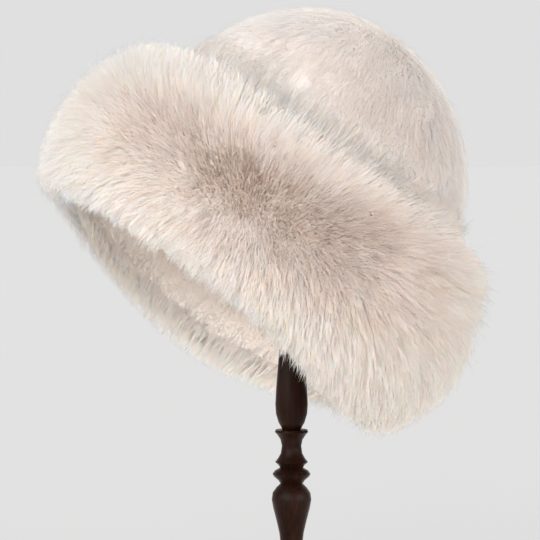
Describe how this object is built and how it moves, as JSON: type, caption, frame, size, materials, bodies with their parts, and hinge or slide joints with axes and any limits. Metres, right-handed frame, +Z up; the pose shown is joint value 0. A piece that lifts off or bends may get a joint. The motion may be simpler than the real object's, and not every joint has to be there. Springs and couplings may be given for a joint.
{
  "type": "fur bucket hat on a turned wooden stand",
  "caption": "Deep cream fur hat with a domed crown and a wide thick fur brim, tilted on the hidden knob of a dark turned wooden stand with a round foot.",
  "frame": {"origin": "middle of the round foot's underside, on the surface that the stand stands on", "axes": "+Z up along the stand's post, +X towards the side that the hat leans to, -Y towards the viewer of the picture"},
  "size_m": [0.3357, 0.3762, 0.4331],
  "materials": {
    "hide": "soft beige hide, seen only inside the hat",
    "crown_fur": "short combed cream fur",
    "brim_fur": "deep cream fur with a tan undercoat",
    "under_brim_fur": "short smooth cream beige pile",
    "stand_wood": "dark brown turned wood, half gloss"
  },
  "bodies": {
    "root": {"crown": "hide", "brim": "hide", "crown_fur": "crown_fur", "brim_fur": "brim_fur", "under_brim_fur": "under_brim_fur", "stand_post": "stand_wood", "stand_knob": "stand_wood", "stand_base": "stand_wood"}
  },
  "joints": []
}
